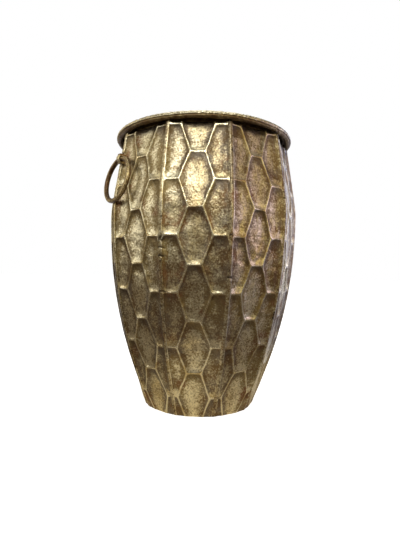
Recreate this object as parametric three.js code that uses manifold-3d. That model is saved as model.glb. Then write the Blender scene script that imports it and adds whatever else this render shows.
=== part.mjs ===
// Brass planter pot: ten embossed sheet panels lapped at their seams, a hoop with a rolled rim
// over a wire, a base pan, and two ring handles hanging in staples.
// Millimetres, +Z up, origin at the bottom centre. The handle seams are on the X axis, and one
// panel faces -Y. Every panel is drawn facing -Y and turned about Z to its place.
import * as THREE from "three";
import { mergeVertices } from "three/addons/utils/BufferGeometryUtils.js";
import Module from "manifold-3d";

// ---- driving dimensions ----
const PANELS = 10;
const HALF_PANEL = Math.PI / PANELS; // half of the angle that one panel takes up
const FIT_GAP = 0.3; // clearance kept between pieces that touch on the real pot

// belly: radius of the seam ribs at three heights, with a curve below and a taper above the waist
const BASE_RADIUS = 73.6;
const WAIST_RADIUS = 127.5;
const NECK_RADIUS = 113.4;
const WAIST_Z = 255.8;
const NECK_Z = 341.7;
const BELLY_POWER = 2.24;

// panel sheet, and the lap that covers the next panel's edge
const PANEL_TOP_Z = 340;
const SHEET = 1.0;
const RELIEF = 1.4; // height of the honeycomb ridges over the cell floors
const LAP_SHEET = 0.7;
const LAP_WIDTH = 3.0; // cover over the next panel
const LAP_RUN = 2.5; // slope down to the panel's own face

// honeycomb: cells two rows tall, in columns that step down by one row
const ROW_PITCH = 31.19;
const FIRST_ROW_Z = 25.2;
const LAST_ROW_Z = FIRST_ROW_Z + 10 * ROW_PITCH;
const CELL_HALF_WIDTH = 19.25;
const CELL_HALF_EDGE = 8.1; // half of a cell's level edge
const RIDGE_HALF_WIDTH = 1.6;
const RELIEF_BOTTOM_Z = 3;
const RELIEF_TOP_Z = 335;
const LAP_MARGIN = 1.3; // plain strip between the relief and a lap

// hoop: a skirt inside the panels, a flat lip and a bead rolled over a wire
const RIM_TOP_Z = 350;
const BEAD_RADIUS = 4.0;
const BEAD_RING_RADIUS = 113.3;
const HOOP_SHEET = 1.0;
const SKIRT_RADIUS = 103.7; // middle of the sheet
const SKIRT_BOTTOM_Z = 318;
const LIP_BEND = 4.5;
const CURL_TURN = THREE.MathUtils.degToRad(280);
const HOOP_SEGMENTS = 40;
const CURL_STEPS = 8;

// base pan: a plate with its rim turned down to the floor
const PAN_PLATE_Z = 8;
const PAN_SHEET = 1.2;

// handles: a ring hanging in a strap staple whose legs pass through the seam
const RING_RADIUS = 26.3;
const RING_WIRE = 3.1;
const RING_HANG_Z = 307; // the ring wire's middle inside the staple
const RING_TILT = THREE.MathUtils.degToRad(10.4); // leans out, resting on the belly
const WIRE_STANDOFF = 1.0; // the wire's middle, out from the seam rib
const HANDLE_TURN = THREE.MathUtils.degToRad(6.8); // each staple sits a little askew
const HANDLE_SHIFT = 3.0; // and beside its seam
const STAPLE_INSIDE = 3.7;
const STAPLE_SHEET = 1.6;
const STAPLE_WIDTH = 5.0;
const STAPLE_TAB = 6.0;
const UPPER_TAB_DEPTH = 8.0;
const LOWER_TAB_DEPTH = 6.0;
// flat hammered into the corner behind the ring wire
const SEAT_HALF_WIDTH = 12;
const SEAT_HALF_HEIGHT = 7;

// ---- solids ----
const wasm = await Module();
wasm.setup();

// turns a closed geometry into a solid that can be joined and cut
function solidOf(geometry) {
  const plain = geometry.clone();
  plain.deleteAttribute("normal");
  plain.deleteAttribute("uv");
  const merged = mergeVertices(plain, 1e-4);
  return new wasm.Manifold(new wasm.Mesh({
    numProp: 3,
    vertProperties: new Float32Array(merged.attributes.position.array),
    triVerts: new Uint32Array(merged.index.array),
  }));
}

function geometryOf(solid) {
  const mesh = solid.getMesh();
  const geometry = new THREE.BufferGeometry();
  geometry.setAttribute("position", new THREE.BufferAttribute(mesh.vertProperties, 3));
  geometry.setIndex(new THREE.BufferAttribute(mesh.triVerts, 1));
  return geometry;
}

function polar(radius, angle) {
  return new THREE.Vector2(radius * Math.cos(angle), radius * Math.sin(angle));
}

function arcPoints(centre, radius, from, to, steps) {
  return Array.from({ length: steps + 1 }, (_, i) =>
    polar(radius, from + ((to - from) * i) / steps).add(centre));
}

// ---- belly ----
function ribRadius(z) {
  if (z < WAIST_Z) {
    const down = (WAIST_Z - z) / WAIST_Z;
    return WAIST_RADIUS - (WAIST_RADIUS - BASE_RADIUS) * down ** BELLY_POWER;
  }
  const up = (z - WAIST_Z) / (NECK_Z - WAIST_Z);
  return WAIST_RADIUS - (WAIST_RADIUS - NECK_RADIUS) * up;
}

// corner radius of the panels' outer faces, under the laps
const LAP_RISE = (FIT_GAP + LAP_SHEET) / Math.cos(HALF_PANEL);
const cornerRadius = (z) => ribRadius(z) - LAP_RISE;
const faceDistance = (z) => cornerRadius(z) * Math.cos(HALF_PANEL);
const halfWidth = (z) => cornerRadius(z) * Math.sin(HALF_PANEL);

function rowLevels(bottom, top) {
  const rows = Array.from({ length: 11 }, (_, i) => FIRST_ROW_Z + i * ROW_PITCH);
  return [bottom, ...rows.filter((z) => z > bottom && z < top), top];
}

// Extrudes a section along the belly. The section is drawn for a face at distance 0 whose
// corners are at x = 0: points left of the middle are marked by side -1, right by side +1.
function bellyLoft(section, levels) {
  const spread = 100; // keeps the two sides of the section apart while it is extruded
  const shape = new THREE.Shape(section.map((p) => new THREE.Vector2(p.side * spread + p.s, -p.d)));
  const steps = levels.length - 1;
  const geometry = new THREE.ExtrudeGeometry(shape, { depth: steps, steps, bevelEnabled: false });
  const position = geometry.attributes.position;
  for (let i = 0; i < position.count; i++) {
    const z = levels[Math.round(position.getZ(i))];
    const side = Math.sign(position.getX(i));
    const s = position.getX(i) - side * spread + side * halfWidth(z);
    position.setXYZ(i, s, position.getY(i) - faceDistance(z), z);
  }
  return solidOf(geometry);
}

// ---- panels ----
function panelBlank() {
  const depth = SHEET + RELIEF;
  const cut = FIT_GAP / 2 / Math.cos(HALF_PANEL);
  const inward = depth * Math.tan(HALF_PANEL);
  const outward = polar(1, Math.PI / 2 - HALF_PANEL); // along the seam's bisector
  const along = polar(1, -2 * HALF_PANEL); // along the next panel's face
  const away = polar(1, Math.PI / 2 - 2 * HALF_PANEL); // out of the next panel's face
  const under = outward.clone().multiplyScalar(FIT_GAP / Math.cos(HALF_PANEL));
  const ridge = outward.clone().multiplyScalar(LAP_RISE);
  const root = under.clone().addScaledVector(along, -cut);
  const lapEdge = under.clone().addScaledVector(along, LAP_WIDTH);
  const lapTop = lapEdge.clone().addScaledVector(away, LAP_SHEET);
  const right = [root, lapEdge, lapTop, ridge].map((p) => ({ side: 1, s: p.x, d: p.y }));
  const section = [
    { side: -1, s: cut, d: 0 },
    { side: -1, s: cut + inward, d: -depth },
    { side: 1, s: -cut - inward, d: -depth },
    ...right,
    { side: 1, s: -LAP_RUN, d: 0 },
  ];
  return bellyLoft(section, rowLevels(0, PANEL_TOP_Z));
}

// one cell's opening as a prism through the sheet, drawn inside the ridges around it
function cellPrism(s, z) {
  const slope = (CELL_HALF_WIDTH - CELL_HALF_EDGE) / ROW_PITCH;
  const stretch = Math.hypot(1, slope);
  const top = ROW_PITCH - RIDGE_HALF_WIDTH;
  const side = CELL_HALF_WIDTH - RIDGE_HALF_WIDTH * stretch;
  const edge = side - slope * top;
  const corners = [[edge, top], [-edge, top], [-side, 0], [-edge, -top], [edge, -top], [side, 0]];
  const shape = new THREE.Shape(corners.map(([x, y]) => new THREE.Vector2(s + x, z + y)));
  const geometry = new THREE.ExtrudeGeometry(shape, { depth: 100, bevelEnabled: false });
  geometry.translate(0, 0, 45);
  geometry.rotateX(Math.PI / 2);
  return solidOf(geometry);
}

// everything in front of the cell floors, between the laps
function reliefSpace() {
  const near = LAP_WIDTH + LAP_MARGIN;
  const far = LAP_RUN + LAP_MARGIN;
  const reach = 20;
  const section = [
    { side: -1, s: near, d: reach },
    { side: -1, s: near, d: -RELIEF },
    { side: 1, s: -far, d: -RELIEF },
    { side: 1, s: -far, d: reach },
  ];
  return bellyLoft(section, rowLevels(RELIEF_BOTTOM_Z, RELIEF_TOP_Z));
}

function embossedPanel() {
  const columnStep = CELL_HALF_WIDTH + CELL_HALF_EDGE;
  const cells = [];
  for (const column of [-1, 0, 1]) {
    const firstZ = column === 0 ? FIRST_ROW_Z : FIRST_ROW_Z - ROW_PITCH;
    for (let z = firstZ; z < LAST_ROW_Z + 1.5 * ROW_PITCH; z += 2 * ROW_PITCH) {
      cells.push(cellPrism(column * columnStep, z));
    }
  }
  const openings = wasm.Manifold.union(cells).intersect(reliefSpace());
  return panelBlank().subtract(openings);
}

// ---- hoop, wire and base pan ----
const CURL_CENTRE = new THREE.Vector2(BEAD_RING_RADIUS, RIM_TOP_Z - BEAD_RADIUS);

// one face of the hoop's sheet, offset from the sheet's middle
function hoopFace(offset) {
  const bendCentre = new THREE.Vector2(SKIRT_RADIUS + LIP_BEND, RIM_TOP_Z - HOOP_SHEET / 2 - LIP_BEND);
  const bend = arcPoints(bendCentre, LIP_BEND + offset, Math.PI, Math.PI / 2, 3);
  const curlRadius = BEAD_RADIUS - HOOP_SHEET / 2 + offset;
  const curl = arcPoints(CURL_CENTRE, curlRadius, Math.PI / 2, Math.PI / 2 - CURL_TURN, CURL_STEPS);
  return [new THREE.Vector2(SKIRT_RADIUS - offset, SKIRT_BOTTOM_Z), ...bend, ...curl];
}

function rimHoop() {
  const half = HOOP_SHEET / 2;
  const outline = [...hoopFace(-half), ...hoopFace(half).reverse()];
  outline.push(outline[0].clone());
  return geometryOf(solidOf(lathe(outline, HOOP_SEGMENTS)));
}

// LatheGeometry turns about Y, so the result is stood up on Z
function lathe(outline, segments) {
  const geometry = new THREE.LatheGeometry(outline, segments);
  geometry.rotateX(Math.PI / 2);
  return geometry;
}

function rimWire() {
  const inside = (BEAD_RADIUS - HOOP_SHEET) * Math.cos(CURL_TURN / CURL_STEPS / 2);
  return new THREE.TorusGeometry(BEAD_RING_RADIUS, inside - FIT_GAP, 8, HOOP_SEGMENTS);
}

function basePan() {
  const clear = (SHEET + RELIEF + 2 * FIT_GAP) / Math.cos(HALF_PANEL);
  const wall = PAN_SHEET / Math.cos(HALF_PANEL);
  const outer = (z) => cornerRadius(z) - clear;
  const plateUnder = PAN_PLATE_Z - PAN_SHEET;
  const outline = [
    [0, plateUnder],
    [outer(plateUnder) - wall, plateUnder],
    [outer(0) - wall, 0],
    [outer(0), 0],
    [outer(PAN_PLATE_Z), PAN_PLATE_Z],
    [0, PAN_PLATE_Z],
  ].map(([r, z]) => new THREE.Vector2(r, z));
  const geometry = lathe(outline, PANELS);
  geometry.rotateZ(HALF_PANEL);
  return geometryOf(solidOf(geometry));
}

// ---- handles ----
// A handle's own frame: origin on the seam rib at the hanging height, +X out of the pot.
const STAPLE_OUTSIDE = STAPLE_INSIDE + STAPLE_SHEET;

function staple() {
  const loop = new THREE.Vector2(WIRE_STANDOFF, 0);
  const quarter = Math.PI / 2;
  const tip = STAPLE_OUTSIDE + STAPLE_TAB;
  const outline = [
    new THREE.Vector2(-UPPER_TAB_DEPTH, tip),
    new THREE.Vector2(-UPPER_TAB_DEPTH, STAPLE_OUTSIDE),
    ...arcPoints(loop, STAPLE_OUTSIDE, quarter, -quarter, 8),
    new THREE.Vector2(-LOWER_TAB_DEPTH, -STAPLE_OUTSIDE),
    new THREE.Vector2(-LOWER_TAB_DEPTH, -tip),
    new THREE.Vector2(-LOWER_TAB_DEPTH - STAPLE_SHEET, -tip),
    new THREE.Vector2(-LOWER_TAB_DEPTH - STAPLE_SHEET, -STAPLE_INSIDE),
    ...arcPoints(loop, STAPLE_INSIDE, -quarter, quarter, 8),
    new THREE.Vector2(-UPPER_TAB_DEPTH - STAPLE_SHEET, STAPLE_INSIDE),
    new THREE.Vector2(-UPPER_TAB_DEPTH - STAPLE_SHEET, tip),
  ];
  const options = { depth: STAPLE_WIDTH, bevelEnabled: false };
  const geometry = new THREE.ExtrudeGeometry(new THREE.Shape(outline), options);
  geometry.rotateX(Math.PI / 2);
  geometry.translate(0, STAPLE_WIDTH / 2, 0);
  return geometry;
}

// the two openings that the staple's legs need in the wall
function legSlots() {
  const height = STAPLE_SHEET + 2 * FIT_GAP;
  const through = 16;
  return [-1, 1].map((side) => {
    const box = new THREE.BoxGeometry(through, STAPLE_WIDTH + 2 * FIT_GAP, height);
    box.translate(-through / 2 + 4, 0, side * (STAPLE_INSIDE + STAPLE_SHEET / 2));
    return box;
  });
}

// the flat behind the ring wire follows the neck's taper
function wireSeat() {
  const reach = 10;
  const box = new THREE.BoxGeometry(reach, 2 * SEAT_HALF_WIDTH, 2 * SEAT_HALF_HEIGHT);
  box.translate(reach / 2 - RING_WIRE - FIT_GAP, 0, 0);
  box.rotateY(-Math.atan2(WAIST_RADIUS - NECK_RADIUS, NECK_Z - WAIST_Z));
  box.translate(WIRE_STANDOFF, 0, 0);
  return box;
}

// side -1 is the handle on -X, +1 the one on +X
function handleFrame(side) {
  const frame = new THREE.Group();
  frame.position.set(side * ribRadius(RING_HANG_Z), side * HANDLE_SHIFT, RING_HANG_Z);
  frame.rotation.z = (side < 0 ? Math.PI : 0) + HANDLE_TURN;
  frame.updateMatrix();
  return frame;
}

// ---- assembly ----
const brass = (colour, roughness) =>
  new THREE.MeshStandardMaterial({ color: colour, roughness, metalness: 1 });
const FINISHES = {
  panel: brass(0x9c7a3c, 0.42),
  rim: brass(0x8f6c34, 0.4),
  pan: brass(0x6f5530, 0.55),
  wire: brass(0x6b5a3a, 0.5),
  staple: brass(0x86683a, 0.45),
  ring: brass(0x5c4424, 0.45),
};

const pot = new THREE.Group();

function place(parent, name, geometry, finish) {
  const mesh = new THREE.Mesh(geometry, finish);
  mesh.name = name;
  parent.add(mesh);
  return mesh;
}

const handles = [
  { name: "left", frame: handleFrame(-1) },
  { name: "right", frame: handleFrame(1) },
];

const handleCuts = handles.flatMap(({ frame }) =>
  [...legSlots(), wireSeat()].map((box) => box.applyMatrix4(frame.matrix)));

const blank = embossedPanel();
for (let i = 0; i < PANELS; i++) {
  const angle = 2 * HALF_PANEL * i;
  const cutters = handleCuts.map((box) => solidOf(box.clone().rotateZ(-angle)));
  const solid = cutters.reduce((panel, cutter) => panel.subtract(cutter), blank);
  const name = `panel_${String(i + 1).padStart(2, "0")}`;
  place(pot, name, geometryOf(solid), FINISHES.panel).rotation.z = angle;
}

place(pot, "rim_hoop", rimHoop(), FINISHES.rim);
place(pot, "rim_wire", rimWire(), FINISHES.wire).position.z = CURL_CENTRE.y;
place(pot, "base_pan", basePan(), FINISHES.pan);

for (const { name, frame } of handles) {
  place(frame, `staple_${name}`, staple(), FINISHES.staple);
  const hang = new THREE.Group();
  hang.position.x = WIRE_STANDOFF;
  hang.rotation.y = -RING_TILT;
  const ring = new THREE.TorusGeometry(RING_RADIUS, RING_WIRE, 10, 36).rotateY(Math.PI / 2);
  place(hang, `ring_${name}`, ring, FINISHES.ring).position.z = -RING_RADIUS;
  frame.add(hang);
  pot.add(frame);
}

export default pot;
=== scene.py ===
import math

import bmesh
import bpy
import numpy as np
from mathutils import Matrix, Vector


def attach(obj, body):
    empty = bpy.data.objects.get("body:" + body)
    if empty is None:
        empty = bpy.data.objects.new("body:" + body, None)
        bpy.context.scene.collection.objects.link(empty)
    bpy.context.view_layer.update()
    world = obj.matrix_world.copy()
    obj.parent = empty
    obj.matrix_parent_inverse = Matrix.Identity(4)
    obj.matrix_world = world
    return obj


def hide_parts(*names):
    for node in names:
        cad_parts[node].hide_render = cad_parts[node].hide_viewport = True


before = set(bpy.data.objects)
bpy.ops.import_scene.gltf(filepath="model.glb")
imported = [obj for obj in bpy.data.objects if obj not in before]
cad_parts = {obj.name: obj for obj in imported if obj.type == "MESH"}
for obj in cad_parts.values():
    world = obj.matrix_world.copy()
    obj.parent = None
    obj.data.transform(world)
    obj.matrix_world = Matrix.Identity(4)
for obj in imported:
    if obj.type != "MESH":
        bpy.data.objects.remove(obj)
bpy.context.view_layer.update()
MM = 0.001

# ---------------------------------------------------------------- pot dimensions, in millimetres
PANELS = 10
HALF_PANEL = math.pi / PANELS
BASE_RADIUS = 73.6
WAIST_RADIUS = 127.4
NECK_RADIUS = 113.4
WAIST_Z = 255.8
NECK_Z = 341.7
BELLY_POWER = 2.24
FOOT_HEIGHT = 42.0  # the wall turns from ten-sided to round below this
FOOT_SWELL = 1.0  # of the round foot over the ten-sided wall's corners
FOOT_FLAT = 5.0  # the relief grows flatter below this
WAIST_SOFTNESS = 12.0  # half of the height over which the waist rounds over
PANEL_TOP_Z = 340.0
SEAM_GAP = 0.3
SHEET = 1.0
LAP_SHEET = 0.7
LAP_WIDTH = 3.0
LAP_RUN = 2.5
LAP_RISE = SEAM_GAP + LAP_SHEET

ROW_PITCH = 31.19
FIRST_ROW_Z = 25.2
CELL_HALF_WIDTH = 19.25
CELL_HALF_EDGE = 8.1
RIDGE_RISE = 0.45  # height of a ridge over the rim of its cell
RIDGE_GIRTH = 1.35  # distance from a ridge's crest to where it falls to a third
DISH_DEPTH = 1.55  # how far a cell's floor is sunk below its rim
DISH_RUN = 5.4  # width of the slope down to it

RIDGE_SHARPNESS = 1.3  # of the corners where ridges meet
BOWL_SHARPNESS = 0.42  # of the corners of a cell's sunk floor

# Unevenness of the hand-worked sheet: wavelength or spacing, and height or share.
DRIFT_LENGTH = 60.0  # slow wander of the ridges
DRIFT_SIDEWAYS = 0.45
DRIFT_UPWARDS = 0.55
JOG_LENGTH = 14.0  # small wander of the ridges
JOG = 0.10
GIRTH_LENGTH = 35.0
GIRTH_SHARE = 0.16  # of a ridge's girth
SLOPE_LENGTH = 40.0
SLOPE_SHARE = 0.15  # of the slope's width
LARGE_DENT = 7.0  # spacing of the hammer dents
SMALL_DENT = 4.0
SMALL_DENT_SHARE = 0.6  # depth of the small dents against the large
DENT = 0.14
RIPPLE_LENGTH = 13.0
RIPPLE = 0.10
SWELL_LENGTH = 38.0
SWELL = 0.26
CREST_LENGTH = 6.0  # along the top of a ridge
CREST = 0.05
LAP_WAVER_LENGTH = 30.0
LAP_WAVER = 0.05  # share of the lap's width
LAP_RIPPLE_LENGTH = 7.0
LAP_RIPPLE = 0.03

BEAD_SHADOW_Z = (331.0, 336.5)  # the painted shadow under the bead begins and is full
LAP_BEAD_SHADOW_Z = (333.0, 338.0)

GRID = 0.7  # spacing of the panels' surface points
BACK_STEP = 4  # the backs are drawn four times coarser

# Pits left by the solder, along the seam that ends each of these panels: height and reach.
PITS = {
    8: [(208.5, 3.0), (199.0, 0.9), (190.0, 1.3), (151.0, 1.2)],
    9: [(214.0, 0.9), (168.0, 1.2)],
    0: [(262.0, 1.1), (120.0, 1.6)],
    4: [(231.0, 1.8), (98.0, 1.2)],
    6: [(150.0, 2.0)],
}
PIT_BITE = 0.6  # share of the lap's width that a pit takes
PIT_SHADE = 1.3  # how dark the painted shade in a pit is
PIT_SHADE_WIDTH = 2.6  # of the painted shade beside it, over the next panel

# How deeply each panel is tarnished and darkened with painted shade in its middle, and the height and reach
# of that.
TARNISH_AND_SHADE = [0.1, 0.0, 0.2, 0.5, 0.3, 0.7, 0.2, 0.4, 0.1, 1.0]
TARNISH_AND_SHADE_Z = 146.0
TARNISH_AND_SHADE_REACH = 40.0

HANDLE_PANELS = {-1: (7, 8), 1: (2, 3)}  # left and right: the two panels that meet behind the handle

SEED = 20


# ---------------------------------------------------------------- camera, in metres and radians
CAMERA_AZIMUTH = math.radians(-32.56)
CAMERA_DISTANCE = 0.5415
CAMERA_HEIGHT = 0.1767
CAMERA_YAW = -0.0025
CAMERA_PITCH = 0.0041
CAMERA_ROLL = 0.0229
CAMERA_LENS = 26.49

RIG = Matrix.Rotation(CAMERA_AZIMUTH, 4, "Z")  # the camera, lights and room are laid out in this frame


def make_camera():
    data = bpy.data.cameras.new("camera")
    data.lens = CAMERA_LENS
    data.sensor_width = 36.0
    data.clip_start = 0.01
    camera = bpy.data.objects.new("camera", data)
    bpy.context.scene.collection.objects.link(camera)
    place = Matrix.Translation((0, -CAMERA_DISTANCE, CAMERA_HEIGHT))
    turn = Matrix.Rotation(-CAMERA_YAW, 4, "Z") @ Matrix.Rotation(math.pi / 2 + CAMERA_PITCH, 4, "X")
    camera.matrix_world = RIG @ place @ turn @ Matrix.Rotation(CAMERA_ROLL, 4, "Z")
    bpy.context.scene.camera = camera


# ---------------------------------------------------------------- node helpers
class Nodes:
    """Builds a node tree: a number or colour given for a socket is set, anything else is linked."""

    def __init__(self, tree):
        self.tree = tree
        tree.nodes.clear()

    def add(self, kind, settings=None, **inputs):
        node = self.tree.nodes.new(kind)
        for key, value in (settings or {}).items():
            setattr(node, key, value)
        for key, value in inputs.items():
            self.feed(node.inputs[self.index(node, key)], value)
        return node

    def index(self, node, key):
        if key[0] == "i" and key[1:].isdigit():
            return int(key[1:])
        wanted = key.replace("_", " ").lower()
        return next(i for i, s in enumerate(node.inputs) if s.name.lower() == wanted)

    def feed(self, socket, value):
        if isinstance(value, bpy.types.Node):
            value = value.outputs[0]
        if isinstance(value, bpy.types.NodeSocket):
            self.tree.links.new(value, socket)
        elif isinstance(value, (tuple, list)) and len(value) == 3 and socket.type == "RGBA":
            socket.default_value = (*value, 1.0)
        else:
            socket.default_value = value

    def math(self, operation, a, b):
        return self.add("ShaderNodeMath", {"operation": operation}, i0=a, i1=b)

    def times(self, a, b):
        return self.math("MULTIPLY", a, b)

    def swing(self, value, amount):
        """A noise's unevenness about its middle, times an amount."""
        return self.times(self.math("SUBTRACT", value, 0.5), amount)

    def total(self, values, weights):
        """The sum of named values, each times the weight of that name."""
        parts = [self.times(values[name], weight) for name, weight in weights.items()]
        result = parts[0]
        for part in parts[1:]:
            result = self.math("ADD", result, part)
        return result

    def steps(self, value, low, high):
        """0 below low, 1 above high, smooth between."""
        settings = {"interpolation_type": "SMOOTHSTEP"}
        return self.add("ShaderNodeMapRange", settings, value=value, from_min=low, from_max=high)

    def mix(self, factor, a, b):
        node = self.add("ShaderNodeMix", {"data_type": "RGBA", "clamp_factor": True})
        self.feed(node.inputs[0], factor)
        self.feed(node.inputs[6], a)
        self.feed(node.inputs[7], b)
        return node.outputs[2]

    def blend(self, factor, a, b):
        node = self.add("ShaderNodeMix", {"data_type": "FLOAT", "clamp_factor": True})
        self.feed(node.inputs[0], factor)
        self.feed(node.inputs[2], a)
        self.feed(node.inputs[3], b)
        return node.outputs[0]

    def noise(self, where, size_mm, detail=3.0, roughness=0.55, stretch=None):
        if stretch:
            where = self.add("ShaderNodeMapping", None, vector=where, scale=stretch)
        scale = 1.0 / (size_mm * MM)
        node = self.add("ShaderNodeTexNoise", None, vector=where, scale=scale, detail=detail)
        node.inputs["Roughness"].default_value = roughness
        return node.outputs["Fac"]

    def attribute(self, name):
        node = self.add("ShaderNodeAttribute", {"attribute_name": name})
        return node.outputs["Fac"]

    def bump(self, height, distance_mm, strength, normal=None):
        node = self.add("ShaderNodeBump", None, height=height, strength=strength)
        node.inputs["Distance"].default_value = distance_mm * MM
        if normal is not None:
            self.feed(node.inputs["Normal"], normal)
        return node.outputs["Normal"]


def new_material(name):
    material = bpy.data.materials.new(name)
    material.use_nodes = True
    return material, Nodes(material.node_tree)


def finish_material(nodes, colour, roughness, normal):
    shader = nodes.add("ShaderNodeBsdfPrincipled", None, metallic=1.0)
    nodes.feed(shader.inputs["Base Color"], colour)
    nodes.feed(shader.inputs["Roughness"], roughness)
    nodes.feed(shader.inputs["Normal"], normal)
    out = nodes.add("ShaderNodeOutputMaterial")
    nodes.tree.links.new(shader.outputs[0], out.inputs["Surface"])


def object_place(nodes):
    return nodes.add("ShaderNodeTexCoord").outputs["Object"]


# ---------------------------------------------------------------- brass materials
BRIGHT = (0.89, 0.81, 0.56)
GOLD = (0.64, 0.51, 0.26)
OLIVE = (0.31, 0.235, 0.110)
BROWN = (0.19, 0.122, 0.060)
RUSSET = (0.25, 0.135, 0.066)
GREY = (0.24, 0.20, 0.15)
UMBER = (0.13, 0.075, 0.042)
# near black: soot and solder, and the colour of painted shade and painted shadow
SOOT_AND_SHADE = (0.045, 0.032, 0.022)

# Sizes of the unevenness in the panels' finish, in millimetres.
BROAD_SIZE = 75
STAIN_SIZE = 30
PATCH_SIZE = 17
TARNISH_AND_SHADE_SIZE = 12
MOTTLE_SIZE = 4.6
SCAB_SIZE = 3.2
GRAIN_SIZE = 1.9

# What rubs the patina through to gold, and what keeps it: the lip term paints a highlight on the bottom of
# each cell, the grime term paints shade below the ridges, and the tarnish term is partly painted shade.
PANEL_WEAR_AND_LIGHT = {
    "crown": 0.30,
    "mottle": 0.75,
    "patch": 0.60,
    "grain": 1.0,
    "lip": 0.42,
    "grime_and_shade": -0.20,
    "tarnish_and_shade": -0.08,
}
# weights for the round parts' wear, which on the bead's top includes a painted highlight
ROUND_WEAR_AND_LIGHT = {"mottle": 0.6, "patch": 0.4, "wear_and_painted_light": 0.5}


def panel_brass():
    """Antique brass: grey-brown patina in the cells, worn to gold in their middles and on the ridges, with
    painted highlights on the cells' bottoms and painted shade below the ridges and under the bead.
    """
    material, n = new_material("panel_brass_finish")
    where = object_place(n)
    masks = {key: n.attribute(key) for key in ("ridge", "crown", "grime_and_shade", "lip", "lap", "shade", "tarnish_and_shade")}
    ridge, grime_and_shade = masks["ridge"], masks["grime_and_shade"]
    tarnish_and_shade = n.times(masks["tarnish_and_shade"], n.steps(n.noise(where, TARNISH_AND_SHADE_SIZE, 4.0), 0.3, 0.55))
    broad = n.noise(where, BROAD_SIZE, 2.0)
    patch = n.noise(where, PATCH_SIZE, 4.0, 0.6)
    mottle = n.noise(where, MOTTLE_SIZE, 5.0, 0.62)
    grain = n.noise(where, GRAIN_SIZE, 3.0, 0.6)

    # patina, with the sheet rubbed bright through it, and painted highlights on the bottoms of the cells
    patina = n.mix(n.steps(patch, 0.38, 0.6), BROWN, GREY)
    patina = n.mix(n.steps(broad, 0.42, 0.62), patina, OLIVE)
    patina = n.mix(n.steps(n.noise(where, STAIN_SIZE, 3.0), 0.56, 0.7), patina, RUSSET)
    values = {**masks, "mottle": mottle, "patch": patch, "grain": grain, "tarnish_and_shade": tarnish_and_shade}
    rubbed_and_lit = n.steps(n.total(values, PANEL_WEAR_AND_LIGHT), 1.12, 1.68)
    bright = n.mix(n.steps(broad, 0.35, 0.6), GOLD, BRIGHT)
    colour = n.mix(rubbed_and_lit, patina, bright)

    # light flecks and dark specks of the grain
    flecks = n.times(n.steps(grain, 0.53, 0.64), n.blend(rubbed_and_lit, 0.10, 0.45))
    colour = n.mix(flecks, colour, BRIGHT)
    specks = n.times(n.steps(grain, 0.47, 0.36), 0.38)
    colour = n.mix(specks, colour, BROWN)

    # tarnish and painted shade in the middle rows, dirt and painted shade below the ridges, painted shadow
    # under the bead and painted shade in the pits
    colour = n.mix(n.times(tarnish_and_shade, 0.22), colour, UMBER)
    dirt_and_shade = n.times(grime_and_shade, n.steps(mottle, 0.2, 0.7))
    colour = n.mix(n.times(dirt_and_shade, 0.55), colour, SOOT_AND_SHADE)
    colour = n.mix(n.times(masks["shade"], 0.9), colour, SOOT_AND_SHADE)

    # polished ridges, and black scabs of solder on the laps
    polished = n.steps(n.math("ADD", ridge, n.swing(mottle, 0.6)), 0.4, 1.0)
    rail = n.mix(n.steps(patch, 0.36, 0.54), GOLD, BRIGHT)
    colour = n.mix(n.times(polished, 0.9), colour, rail)
    scabs = n.steps(n.noise(where, SCAB_SIZE, 3.0, 0.7, (1, 1, 0.6)), 0.57, 0.64)
    colour = n.mix(n.times(n.times(masks["lap"], scabs), 0.75), colour, SOOT_AND_SHADE)

    rough = n.blend(rubbed_and_lit, 0.45, 0.31)
    rough = n.blend(polished, rough, 0.25)
    rough = n.math("ADD", rough, n.swing(grain, 0.2))
    unworn = n.math("SUBTRACT", 1.0, n.times(ridge, 0.8))
    normal = n.bump(n.times(mottle, unworn), 0.6, 0.8)
    normal = n.bump(grain, 0.24, 0.9, normal)
    finish_material(n, colour, rough, normal)
    return material


def worn_and_lit_brass(name, colours, wear_range, rough_range):
    """Patina of two colours, brightened to a third where 'wear' is high (wear, and on the bead's top a
    painted highlight), and near black where it is well under 0 (painted shade in the bead's crease).
    """
    material, n = new_material(name)
    where = object_place(n)
    dark, mid, bright = colours
    smooth, dull = rough_range
    wear_and_painted_light = n.attribute("wear_and_painted_light")
    patch = n.noise(where, 9, 4.0, 0.6)
    mottle = n.noise(where, 2.8, 5.0, 0.65)
    grain = n.noise(where, 1.5, 3.0, 0.6)
    colour = n.mix(n.steps(patch, 0.35, 0.65), dark, mid)
    rubbed_and_lit = n.steps(n.total({"mottle": mottle, "patch": patch, "wear_and_painted_light": wear_and_painted_light}, ROUND_WEAR_AND_LIGHT), *wear_range)
    colour = n.mix(rubbed_and_lit, colour, bright)
    colour = n.mix(n.times(n.steps(grain, 0.48, 0.37), 0.5), colour, dark)
    # painted shade in the bead's crease, where the value is well under 0
    colour = n.mix(n.times(n.steps(wear_and_painted_light, -0.15, -0.6), 0.85), colour, SOOT_AND_SHADE)
    rough = n.math("ADD", n.blend(rubbed_and_lit, dull, smooth), n.swing(grain, 0.16))
    normal = n.bump(mottle, 0.8, 0.9)
    normal = n.bump(grain, 0.3, 0.9, normal)
    finish_material(n, colour, rough, normal)
    return material


# ---------------------------------------------------------------- mesh helpers
def mesh_object(name, points_mm, faces, material, body, attributes):
    """One smooth mesh piece from points in millimetres, with a finish mask for each attribute."""
    mesh = bpy.data.meshes.new(name)
    mesh.from_pydata((np.asarray(points_mm, float) * MM).tolist(), [], faces)
    for key, values in attributes.items():
        layer = mesh.attributes.new(key, "FLOAT", "POINT")
        layer.data.foreach_set("value", np.asarray(values, np.float32))
    mesh.materials.append(material)
    mesh.validate()
    mesh.update()
    mesh.shade_smooth()
    piece = bpy.data.objects.new(name, mesh)
    bpy.context.scene.collection.objects.link(piece)
    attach(piece, body)
    return piece


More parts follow.
